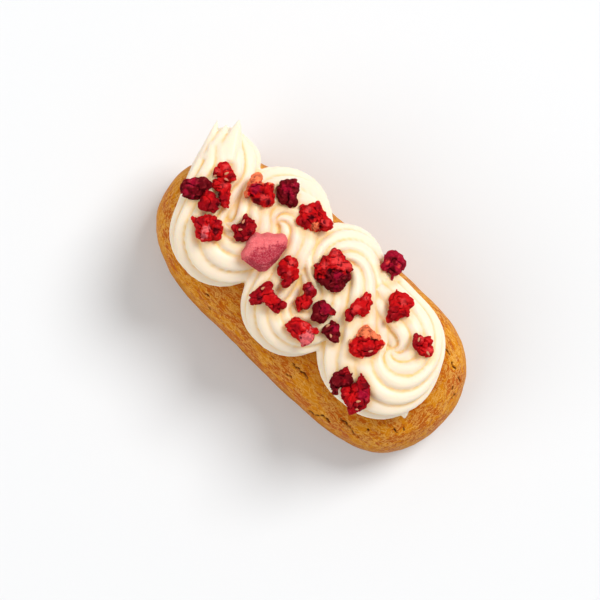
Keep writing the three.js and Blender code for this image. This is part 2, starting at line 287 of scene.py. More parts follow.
def dome_height(x, y):
    """Height of the dome over arrays of x and y, by halving on the share of the half width."""
    inside = np.maximum(0, (np.abs(x) / (BUN_LENGTH / 2) - BUN_SPINE) / (1 - BUN_SPINE))
    outside = np.ones_like(inside)
    for _ in range(HALVINGS):
        share = (inside + outside) / 2
        outline_x = x / (BUN_SPINE + share * (1 - BUN_SPINE))
        short = share * bun_half_width(outline_x) < np.abs(y)
        inside = np.where(short, share, inside)
        outside = np.where(short, outside, share)
    return dome_rise(inside)


def mesh_from_rings(name, bodies, triangles=False):
    """A mesh of closed bodies, each a first point, rings that run the same way round, and a last point."""
    points = []
    faces = []
    for first, rings, last in bodies:
        sides = len(rings[0])
        start = len(points) + 1
        points.extend([first, *(point for ring in rings for point in ring), last])
        end = len(points) - 1
        top = end - sides
        for i in range(sides):
            j = (i + 1) % sides
            faces.append((start - 1, start + j, start + i))
            faces.append((top + i, top + j, end))
            for a in range(start, top, sides):
                b = a + sides
                if triangles:
                    faces.extend([(a + i, a + j, b + j), (a + i, b + j, b + i)])
                else:
                    faces.append((a + i, a + j, b + j, b + i))
    mesh = bpy.data.meshes.new(name)
    mesh.from_pydata(points, [], faces)
    return mesh


def bun_rings():
    """The bun's outline, rolled under to the base and then drawn in towards the crown."""
    angles = np.linspace(0, 2 * math.pi, BUN_SIDES, endpoint=False)
    cosines = np.cos(angles)
    x = BUN_LENGTH / 2 * np.sign(cosines) * np.abs(cosines) ** END_CROWDING
    y = np.sign(np.sin(angles)) * bun_half_width(x)
    away = np.hypot(x * (1 - BUN_SPINE), y)
    rings = []
    for k in range(BASE_STEPS):
        turn = math.pi / 2 * k / BASE_STEPS
        share = 1 - BASE_ROUND * (1 - math.sin(turn)) ** BASE_ROLL[0] / away
        height = WIDEST_LEVEL * (1 - math.cos(turn)) ** BASE_ROLL[1]
        rings.append((share, height))
    for k in range(DOME_STEPS + 1):
        share = math.cos(math.acos(CROWN_GAP) * (k / DOME_STEPS) ** DOME_CROWDING)
        rings.append((np.full_like(away, share), float(dome_rise(share))))
    return [list(zip(x * (BUN_SPINE + (1 - BUN_SPINE) * s), y * s, np.full_like(x, z))) for s, z in rings]


class Shape(Wire):
    """A wire in a Geometry Nodes tree that ends in one modifier's output."""

    def __init__(self, name, **inputs):
        super().__init__(bpy.data.node_groups.new(name, "GeometryNodeTree"))
        face = self.tree.interface
        face.new_socket("Geometry", in_out="INPUT", socket_type="NodeSocketGeometry")
        face.new_socket("Geometry", in_out="OUTPUT", socket_type="NodeSocketGeometry")
        for label, value in inputs.items():
            made = face.new_socket(label, in_out="INPUT", socket_type="NodeSocketFloat")
            made.default_value = value
        self.entry = self.tree.nodes.new("NodeGroupInput")
        self.socket = self.entry.outputs["Geometry"]

    def size(self, label):
        """One of the tree's named inputs."""
        return Wire(self.tree, self.entry.outputs[label])

    def named(self, label, kind="FLOAT"):
        """A value that the mesh carries for each of its points."""
        return self.node("GeometryNodeInputNamedAttribute", {"data_type": kind}, {"Name": label})

    def raised(self, rise):
        """The incoming mesh with each point moved out along its normal."""
        normal = self.node("GeometryNodeInputNormal")
        offset = self.node("ShaderNodeVectorMath", {"operation": "SCALE"}, {0: normal, "Scale": rise})
        return self.node("GeometryNodeSetPosition", {}, {"Geometry": self, "Offset": offset})

    def finish(self, geometry, material):
        """Ends the tree in real geometry with a material on it."""
        realized = self.node("GeometryNodeRealizeInstances", {}, {0: geometry})
        dressed = self.node("GeometryNodeSetMaterial", {}, {"Geometry": realized, "Material": material})
        outgoing = self.tree.nodes.new("NodeGroupOutput")
        self.tree.links.new(dressed.socket, outgoing.inputs["Geometry"])

    def on(self, target, **values):
        """Puts the tree on an object, with values for any inputs that differ."""
        modifier = target.modifiers.new(self.tree.name, "NODES")
        modifier.node_group = self.tree
        for item in self.tree.interface.items_tree:
            if item.in_out == "INPUT" and item.name in values:
                modifier[item.identifier] = values[item.name]


def bake_modifiers(target):
    """Turns what the modifiers make into the object's own plain mesh."""
    bpy.context.view_layer.update()
    evaluated = target.evaluated_get(bpy.context.evaluated_depsgraph_get())
    plain = bpy.data.meshes.new_from_object(evaluated)
    target.modifiers.clear()
    target.data = plain
    plain.shade_smooth()
    return plain


def vertex_values(mesh, what="co"):
    """A row of three for each vertex: its place, or its normal."""
    values = np.empty(len(mesh.vertices) * 3)
    mesh.vertices.foreach_get(what, values)
    return values.reshape(-1, 3)


def store(mesh, name, values):
    """Keeps a number for each vertex, under a name that node trees read."""
    mesh.attributes.new(name, "FLOAT", "POINT").data.foreach_set("value", np.asarray(values, np.float32))


def store_hollows(mesh, rounds, depth):
    """Stores how far each vertex lies below (1) or above (0) its surroundings, with 0.5 for level ground."""
    places = vertex_values(mesh)
    count = len(places)
    edges = np.empty(len(mesh.edges) * 2, np.int32)
    mesh.edges.foreach_get("vertices", edges)
    degree = np.bincount(edges, minlength=count)[:, None]
    one_end, other_end = edges.reshape(-1, 2).T
    smooth = places.copy()
    for _ in range(rounds):
        total = np.empty_like(smooth)
        for axis in range(3):
            one_way = np.bincount(one_end, smooth[other_end, axis], count)
            other_way = np.bincount(other_end, smooth[one_end, axis], count)
            total[:, axis] = one_way + other_way
        smooth = 0.5 * smooth + 0.5 * total / np.maximum(degree, 1)
    below = ((smooth - places) * vertex_values(mesh, "normal")).sum(1)
    store(mesh, "hollow", np.clip(0.5 + 0.5 * below / depth, 0, 1))


def in_mm(place):
    """A place in millimetres, which suit the scales of noise."""
    return place.vector("MULTIPLY", place, (1 / MM,) * 3)


def object_place(wire):
    """Where a point of the surface lies on the object, in millimetres."""
    return in_mm(wire.node("ShaderNodeTexCoord", {}, {}, output="Object"))


def painted(wire, name, output="Fac"):
    """What the mesh carries under a name, as its material reads it."""
    return wire.node("ShaderNodeAttribute", {"attribute_name": name}, {}, output)


def noise(place, settings=None, output=0, **sockets):
    """Smooth noise about 0.5, or with output 1 its three channels."""
    return place.node("ShaderNodeTexNoise", settings, {"Vector": place, **sockets}, output)


def drawn_noise(place, stretch, **sockets):
    """Noise drawn out along the axes whose stretch is below 1."""
    return noise(place.vector("MULTIPLY", place, stretch), **sockets)


def crust_noise(place, **sockets):
    """Noise drawn out along the bun's sides and round its ends, for a place in millimetres."""
    along_side = drawn_noise(place, DRAWN_ALONG, **sockets)
    round_end = drawn_noise(place, DRAWN_ROUND, **sockets)
    at_end = abs(place.axes()[0]).ease(*END_ZONE)
    return along_side * (1.0 - at_end) + round_end * at_end


def bump(height, strength, distance):
    """A surface normal tilted by fine relief that the mesh doesn't have."""
    return height.node("ShaderNodeBump", {}, {"Strength": strength, "Distance": distance, "Height": height})


def crust_material():
    """Orange crust netted with dry, pale veins, dark in its cracks and paler down the sides, with painted
    shade in its dents, on its near side and beside the cream.
    """
    material, wire = new_material("baked_choux")
    place = object_place(wire)
    _, y, height = place.axes()
    drift = noise(place, output=1, Scale=0.5, Detail=2.0)
    bent = wire.vector("ADD", place, wire.vector("MULTIPLY", drift, (1.6, 1.6, 1.6)))
    broad = drawn_noise(place, (0.6, 1.0, 1.0), Scale=0.24, Detail=2.0)
    # glazed dashes on dull tan
    dashes = crust_noise(bent, Scale=0.8, Detail=4.0, Roughness=0.7)
    glazed = (dashes + (broad - 0.5) * 0.8).ease(0.47, 0.53)
    colour = glazed.mix(CRUST_TAN, CRUST_GLAZED)
    # the dry net: veins in patches, and streaks
    netted = wire.vector("MULTIPLY", bent, (0.5, 1.0, 0.8))
    to_edge = {"feature": "DISTANCE_TO_EDGE"}
    net = wire.node("ShaderNodeTexVoronoi", to_edge, {"Vector": netted, "Scale": 0.95})
    patchy = noise(place, Scale=0.5, Detail=3.0)
    veins = net.ease(0.02, 0.12, 1.0, 0.0) * patchy.ease(0.42, 0.6, 0.0, 1.0)
    streaks = abs(crust_noise(bent, Scale=0.7, Detail=4.0, Roughness=0.65) - 0.5).ease(0.005, 0.04, 1.0, 0.0)
    lines = wire.maths("MAXIMUM", veins * 0.6, streaks)
    colour = (lines * 0.8).mix(colour, CRUST_DRY)
    ticks = crust_noise(place, Scale=1.5, Detail=4.0, Roughness=0.75)
    colour = (ticks.ease(0.58, 0.66) * 0.8).mix(colour, CRUST_FLECK)
    # the sides, which the heat reached less, are paler and plainer, but the near one is darker with painted
    # shade
    sides = (height + (broad - 0.5) * 10.0).ease(9.0, 16.0, 1.0, 0.0)
    shaded_near_side = y.ease(-18.0, -12.0, 1.0, 0.0)
    colour = (sides * 0.7).mix(colour, shaded_near_side.mix(CRUST_SIDE, CRUST_SHADED_SIDE))
    # painted shade in the dents, where the surface lies below its surroundings
    colour = painted(wire, "hollow").ease(0.6, 1.0, 0.0, 0.7).mix(colour, CRUST_DENT_SHADE)
    # painted shadow of the cream on the crust beside it
    colour = (painted(wire, "cream_shadow") * 0.55).mix(colour, CRUST_CREAM_SHADOW)
    colour = (painted(wire, "crack").ease(0.05, 0.7) * 0.95).mix(colour, CRUST_SPLIT)
    grain = noise(place, Scale=3.2, Detail=3.0)
    finish_material(wire, {
        "Base Color": colour,
        "Roughness": glazed.ease(0.0, 1.0, 0.62, 0.44),
        "Normal": bump(lines * 0.6 + grain * 0.4 - glazed * 0.3, 0.6, 0.16 * MM),
        "Specular IOR Level": 0.06,
    })
    return material


def crust_shape(material):
    """Geometry Nodes that swell and wrinkle the bun's smooth skin and open its cracks."""
    shape = Shape("crust", swell=CRUST_SWELL, wrinkle=CRUST_WRINKLE, crack=CRACK_DEPTH)
    place = in_mm(shape.node("GeometryNodeInputPosition"))
    broad = drawn_noise(place, (0.7, 1.0, 1.0), Scale=0.11, Detail=2.0)
    wrinkle = crust_noise(place, Scale=0.8, Detail=4.0, Roughness=0.6)
    rise = (broad - 0.5) * 2.0 * shape.size("swell") + (wrinkle - 0.5) * 2.0 * shape.size("wrinkle")
    rise = rise - shape.named("crack") * shape.size("crack")
    above_base = place.axes()[2].ease(*FLAT_BASE)
    shape.finish(shape.raised(rise * above_base), material)
    return shape


def store_cracks(mesh):
    """Stores how deep in a wavering crack each vertex lies, from 0 beside it to 1 along its middle."""
    x, y, z = vertex_values(mesh).T / MM
    depth = np.zeros(len(x))
    chance = random.Random(CRACK_SEED)
    for x1, y1, x2, y2, half in CRACKS:
        length = math.dist((x1, y1), (x2, y2))
        along = ((x - x1) * (x2 - x1) + (y - y1) * (y2 - y1)) / length
        across = ((y - y1) * (x2 - x1) - (x - x1) * (y2 - y1)) / length
        phase = chance.uniform(0, 6)
        wander = 0.18 * np.sin(1.9 * along + phase) + 0.08 * np.sin(4.3 * along + 2 * phase)
        past_end = np.maximum(0, np.abs(along - length / 2) - length / 2)
        away = np.hypot(np.abs(across - wander), past_end)
        swing = np.sin(4.3 * along + 3 * phase) * np.sin(1.3 * along + phase)
        narrowing = 1 - CRACK_NARROWING * (1 - swing)
        inwards = np.clip(CRACK_FLANK - away / (half * narrowing), 0, 1)
        depth = np.maximum(depth, inwards * narrowing * (z > CRACK_LOWEST))
    store(mesh, "crack", depth)


bun_mesh = mesh_from_rings("choux", [((0, 0, 0), bun_rings(), (0, 0, BUN_HEIGHT))])
store_cracks(bun_mesh)
bun = mesh_object("choux", bun_mesh)
crust_shape(crust_material()).on(bun)
bun_mesh = bake_modifiers(bun)
store_hollows(bun_mesh, rounds=8, depth=0.16 * MM)
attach(bun, "root")
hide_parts("choux_bun")


# Cream rope
# Stiff vanilla cream pressed through a star nozzle in one go. The rope starts at the right end and winds
# round five turning points, each later stroke against and over the one before, and ends in a torn tail.
ROPE_START = (9.8 * MM, 12.6 * MM)
ROPE_START_HALF = 6.2 * MM
TURNS = [                           # x, y, radius, side of the pivot (1 is left), and reach by even steps
    (21.2, 4.5, 7.4, -1, (13.6, 12.9, 12.5, 15.2, 17.0, 17.4, 17.4)),
    (0.6, 9.3, 5.6, 1, (11.4, 11.9, 12.2, 11.9, 10.8, 9.8, 8.8)),
    (-2.1, -2.1, 6.0, -1, (12.1, 12.4, 12.5, 13.0, 13.2, 13.2, 12.5)),
    (-17.1, 8.0, 5.5, 1, (12.6, 13.4, 14.0, 14.3, 14.0, 12.9, 11.7)),
    (-26.2, 1.0, 5.6, -1, (14.0, 14.6, 15.4, 15.9, 15.5, 13.3, 12.0)),
]
TAIL = [                            # x, y and width to the left and the right, as the nozzle swings and lifts
    (-34.6, 6.5, 6.4, 7.4),
    (-35.2, 10.0, 6.2, 8.9),
    (-36.6, 12.6, 5.6, 8.4),
    (-38.4, 14.6, 5.3, 6.2),
    (-40.6, 16.8, 5.0, 5.2),
]
PINCH = 1.06                        # how far the rope reaches in over its pivot, as a share of the radius
TURN_STEPS = 60
ROUTE_ROUNDS = 8                    # of smoothing along the route
STEP = 0.9 * MM
ROPE_RISE = 5.3 * MM
ROPE_DROP = 6.6 * MM
ROPE_SIT = 4.0 * MM
ROPE_LIFT = 1.6 * MM
ROPE_SETTLE = 0.74                  # the rope lies flatter than the dome under it by this share
BLUNT_START = (0.88, 0.0 * MM, 3.2 * MM)    # least share of full size, and where it starts and stops growing
TORN_END = (0.42, -1.5 * MM, 5.5 * MM)
RIDGES = 11
RIDGE_POINTS = 12
GROOVE = 0.19
TWIST = 0.55                        # how far the ridges turn round the rope as it changes its heading
UNEVEN = (55.0, 2.4)                # how quickly the ridges' depth varies, along a metre and round a radian
SURGE = 160.0                       # how quickly the cream's flow varies, along a metre
PEAKS = [                           # tip, foot and radius: three torn out by the nozzle, and two flicks
    ((-43.3, 16.8, 28.4), (-37.2, 3.2, 28.4), 3.3),
    ((-41.0, 17.4, 28.9), (-36.8, 6.4, 29.4), 4.2),
    ((-39.5, 20.2, 29.6), (-34.6, 8.6, 30.2), 4.4),
    ((34.5, -5.4, 26.6), (32.0, -3.4, 27.0), 1.7),
    ((12.8, 18.4, 27.0), (7.6, 14.2, 28.4), 3.2),
]
PEAK_STEPS = 40
PEAK_PLEATS = 6
PLEAT_POINTS = 8
PLEAT_DEPTH = 0.12
PEAK_BEND = Vector((0.4, 0.4, 1.0)) * MM
CREAM_VOXEL = 0.32 * MM
CREAM_CREST = (0.90, 0.78, 0.625, 1)
# painted warm shade down in the rope's grooves
CREAM_GROOVE_SHADE = (0.90, 0.61, 0.20, 1)
# painted shade on the cream beside the raspberry pieces
CREAM_BERRY_SHADE = (0.90, 0.57, 0.18, 1)


def stroke(start, finish):
    """Heading of the straight stroke from one turn (x, y, radius, side) to the next."""
    away = math.dist(start[:2], finish[:2])
    lean = math.asin((finish[3] * finish[2] - start[3] * start[2]) / away)
    return math.atan2(finish[1] - start[1], finish[0] - start[0]) - lean


def on_turn(turn, heading):
    """The place on a turn where the rope has this heading."""
    x, y, radius, side = turn
    return x + side * radius * math.sin(heading), y - side * radius * math.cos(heading)


def rope_stations():
    """Rows of x, y, width to the left and width to the right, evenly spaced along the rope."""
    turns = [(x * MM, y * MM, radius * MM, side) for x, y, radius, side, _ in TURNS]
    tail = [tuple(v * MM for v in row) for row in TAIL]
    stops = [(*ROPE_START, 0, 1), *turns, (*tail[0][:2], 0, 1)]
    headings = [stroke(a, b) for a, b in zip(stops, stops[1:])]
    rows = [(*ROPE_START, ROPE_START_HALF, ROPE_START_HALF)]
    for i, turn in enumerate(turns):
        radius, side = turn[2:]
        reaches = np.array(TURNS[i][4]) * MM
        swing = (headings[i + 1] - headings[i]) % (2 * math.pi)
        if side < 0:
            swing -= 2 * math.pi
        for share in np.linspace(0, 1, TURN_STEPS):
            inner = PINCH * radius
            outer = np.interp(share, np.linspace(0, 1, len(reaches)), reaches) - radius
            widths = (inner, outer) if side > 0 else (outer, inner)
            rows.append((*on_turn(turn, headings[i] + swing * share), *widths))
    rows = np.array(rows + tail)
    along = np.concatenate([[0], np.cumsum(np.hypot(*np.diff(rows[:, :2], axis=0).T))])
    count = int(along[-1] / STEP)
    even = np.linspace(0, along[-1], count)
    rows = np.stack([np.interp(even, along, column) for column in rows.T], 1)
    for _ in range(ROUTE_ROUNDS):
        rows[1:-1] = 0.25 * rows[:-2] + 0.5 * rows[1:-1] + 0.25 * rows[2:]
    return rows


def cream_material():
    """Ivory cream, yellower in painted shade down in its grooves and beside the raspberries."""
    material, wire = new_material("piped_cream")
    place = object_place(wire)
    mottle = noise(place, Scale=0.22, Detail=3.0)
    fine = noise(place, Scale=3.2, Detail=3.0)
    # painted warm shade down in the grooves, broken up by the mottle
    groove_shade = painted(wire, "hollow").ease(0.48, 0.85)
    colour = (groove_shade * mottle.ease(0.3, 0.7, 0.65, 1.0)).mix(CREAM_CREST, CREAM_GROOVE_SHADE)
    # painted shade beside the raspberry pieces
    colour = (painted(wire, "berry_shade") * 0.5).mix(colour, CREAM_BERRY_SHADE)
    finish_material(wire, {
        "Base Color": colour,
        "Roughness": 0.42,
        "Normal": bump(fine, 0.25, 0.08 * MM),
        "Subsurface Weight": 0.55,
        "Subsurface Radius": (1.0, 0.75, 0.42),
        "Subsurface Scale": 2.2 * MM,
        "Specular IOR Level": 0.38,
    })
    return material


def rope_shape(material):
    """Geometry Nodes that sweep the star section along the rope's stations."""
    shape = Shape("star_rope", groove=GROOVE, rise=ROPE_RISE, drop=ROPE_DROP)
    path = shape.node("GeometryNodeMeshToCurve", {}, {0: shape})
    circle = {"Resolution": RIDGES * RIDGE_POINTS, "Radius": 1.0}
    ring = shape.node("GeometryNodeCurvePrimitiveCircle", {"mode": "RADIUS"}, circle)
    # the ring's own angle is kept, so that each point of the swept mesh knows its place round the section
    across, up, _ = shape.node("GeometryNodeInputPosition").axes()
    ring = shape.node("GeometryNodeStoreNamedAttribute", {"data_type": "FLOAT", "domain": "POINT"},
                      {"Geometry": ring, "Name": "round", "Value": shape.maths("ARCTAN2", up, across)})
    sweep = {"Curve": path, "Profile Curve": ring, "Fill Caps": True}
    swept = shape.node("GeometryNodeCurveToMesh", {}, sweep)
    around = shape.named("round")
    heading = shape.named("heading")
    along = shape.named("along")
    pitch = 2 * math.pi / RIDGES
    phase = shape.maths("FRACT", (around + heading * TWIST) / pitch + 100.0)
    from_crest = abs(phase * 2.0 - 1.0)
    spot = shape.node("ShaderNodeCombineXYZ", {}, {0: along * UNEVEN[0], 1: around * UNEVEN[1]})
    uneven = noise(spot, Scale=1.0, Detail=2.0)
    surge = shape.node("ShaderNodeTexNoise", {"noise_dimensions": "1D"},
                       {"W": along * SURGE, "Scale": 1.0, "Detail": 1.0})
    depth = shape.size("groove") * uneven.ease(0.25, 0.75, 0.72, 1.3)
    radius = (1.0 - from_crest * from_crest * depth) * shape.named("size")
    radius = radius * (0.975 + uneven * 0.05) * (0.985 + surge * 0.03)
    cosine = shape.maths("COSINE", around)
    sine = shape.maths("SINE", around)
    leftward = shape.maths("GREATER_THAN", cosine, 0.0)
    upward = shape.maths("GREATER_THAN", sine, 0.0)
    half = leftward * shape.named("left") + (1.0 - leftward) * shape.named("right")
    tall = upward * shape.size("rise") + (1.0 - upward) * shape.size("drop")
    out = half * radius * cosine
    centre_x, centre_y, _ = shape.named("centre", "FLOAT_VECTOR").axes()
    target = shape.node("ShaderNodeCombineXYZ", {}, {
        0: centre_x - out * shape.maths("SINE", heading),
        1: centre_y + out * shape.maths("COSINE", heading),
        2: shape.named("lift") + tall * radius * sine,
    })
    placed = shape.node("GeometryNodeSetPosition", {}, {"Geometry": swept, "Position": target})
    shape.finish(placed, material)
    return shape


def tapered(distance, taper):
    """A share of full size at a distance from the rope's end, for a taper's least share, start and finish."""
    least, start, finish = taper
    return least + (1 - least) * ease(distance, start, finish)


def rope_path():
    """The stations as a chain of vertices that carry the rope's sizes."""
    rows = rope_stations()
    count = len(rows)
    mesh = bpy.data.meshes.new("rope_path")
    mesh.from_pydata([(x, y, 0) for x, y, *_ in rows], [(i, i + 1) for i in range(count - 1)], [])
    step = np.gradient(rows[:, :2], axis=0)
    heading = np.unwrap(np.arctan2(step[:, 1], step[:, 0]))
    share = np.linspace(0, 1, count)
    along = share * count * STEP
    left_over = (1 - share) * count * STEP
    values = {
        "heading": heading,
        "left": rows[:, 2],
        "right": rows[:, 3],
        "size": np.minimum(tapered(along, BLUNT_START), tapered(left_over, TORN_END)),
        "lift": ROPE_SIT + ROPE_LIFT * share,
        "along": along,
    }
    for name, value in values.items():
        store(mesh, name, value)
    centre = mesh.attributes.new("centre", "FLOAT_VECTOR", "POINT")
    flat = np.column_stack([rows[:, :2], np.zeros(count)]).astype(np.float32)
    centre.data.foreach_set("vector", flat.ravel())
    return mesh_object("cream", mesh)


def drape(mesh, settle):
    """Lowers a flat-lying mesh on to the bun's dome, a little flatter than the dome itself."""
    places = vertex_values(mesh)
    places[:, 2] += dome_height(settle * places[:, 0], settle * places[:, 1])
    mesh.vertices.foreach_set("co", places.ravel())
    mesh.update()


def peak_body(tip, foot, radius):
    """A lean, pleated and slightly bent cone, as a first point, rings and a last point."""
    tip = Vector(tip) * MM
    foot = Vector(foot) * MM
    bend = foot.lerp(tip, 0.5) + PEAK_BEND
    turn = (tip - foot).to_track_quat("Z", "Y")
    sides = PEAK_PLEATS * PLEAT_POINTS
    rings = []
    for k in range(PEAK_STEPS):
        share = k / PEAK_STEPS
        centre = foot * (1 - share) ** 2 + bend * 2 * share * (1 - share) + tip * share ** 2
        wide = radius * MM * (1 - share) ** 0.8 * min(1, 0.4 + 3 * share)
        ring = []
        for i in range(sides):
            angle = 2 * math.pi * i / sides
            pleat = abs(math.sin(PEAK_PLEATS * angle / 2 + share)) ** 0.5
            out = Vector((math.cos(angle), math.sin(angle), 0)) * wide * (1 - PLEAT_DEPTH * pleat)
            ring.append(centre + turn @ out)
        rings.append(ring)
    return foot, rings, tip


def join_meshes(target, mesh):
    """Adds a mesh's faces to the object's own mesh."""
    made = mesh_object("joined", mesh)
    with bpy.context.temp_override(active_object=target, selected_editable_objects=[target, made]):
        bpy.ops.object.join()


def fuse(piece, voxel, rounds):
    """Modifiers that fuse a piece's bodies into one and soften the steps that this leaves."""
    remesh = piece.modifiers.new("one_body", "REMESH")
    remesh.mode = "VOXEL"
    remesh.voxel_size = voxel
    soften = piece.modifiers.new("soften", "SMOOTH")
    soften.factor = 0.5
    soften.iterations = rounds


cream_finish = cream_material()
cream = rope_path()
rope_shape(cream_finish).on(cream)
cream_mesh = bake_modifiers(cream)
drape(cream_mesh, ROPE_SETTLE)
join_meshes(cream, mesh_from_rings("torn_peaks", [peak_body(*peak) for peak in PEAKS]))
fuse(cream, CREAM_VOXEL, rounds=3)
cream_mesh = bake_modifiers(cream)
cream_mesh.materials.clear()
cream_mesh.materials.append(cream_finish)
store_hollows(cream_mesh, rounds=24, depth=0.32 * MM)
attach(cream, "root")
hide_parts("cream_rope")


# Raspberry pieces
# Freeze-dried raspberries broken into chunks: dry, crumpled flesh of a few drupelets each, from bright red to
# a dark crimson, some with a pink inner side, strewn on the cream and pressed in a little.
RASPBERRY_VOXEL = 0.2 * MM
DRUPELET_SPACING = 2.1              # in millimetres
CHUNK_JITTER = 0.13                 # how unevenly a chunk's facets rise, as a share of its height
CRUMPLED = {"drupelet": 0.40 * MM, "fold": 0.40 * MM, "crumple": 0.17 * MM, "swell": 0.26 * MM}
SUGARY = {"drupelet": 0.05 * MM, "fold": 0.05 * MM, "crumple": 0.10 * MM}
SUGAR_GRAIN = (0.90, 0.33, 0.35, 1)
# painted shade: what darkens the flesh in its creases, and also in its random blotches
SHADE_AND_BLOTCH_DARKENING = (0.20, 0.12, 0.28, 1)    # what multiplies the flesh in its creases
# painted highlight, with a little dust: what lightens the flesh on its crests
CREST_HIGHLIGHT_AND_DUST = (0.22, 0.030, 0.032, 1)    # what is added to the flesh on its crests
BRIGHT = (0.54, 0.004, 0.006)
CRIMSON = (0.33, 0.002, 0.007)
DARK = (0.13, 0.001, 0.005)
PINK = (0.76, 0.14, 0.15)
# painted highlight: lighter red on facets that catch the light
LIT_RED_HIGHLIGHT = (0.72, 0.045, 0.045)
# painted shade: a darker pink on faces turned from the light
SHADED_PINK = (0.42, 0.022, 0.045)
# painted shadow: near black down in a pit
PIT_SHADOW = (0.015, 0.0005, 0.001)
ORANGE = (0.88, 0.22, 0.09)
MAGENTA = (0.34, 0.003, 0.024)
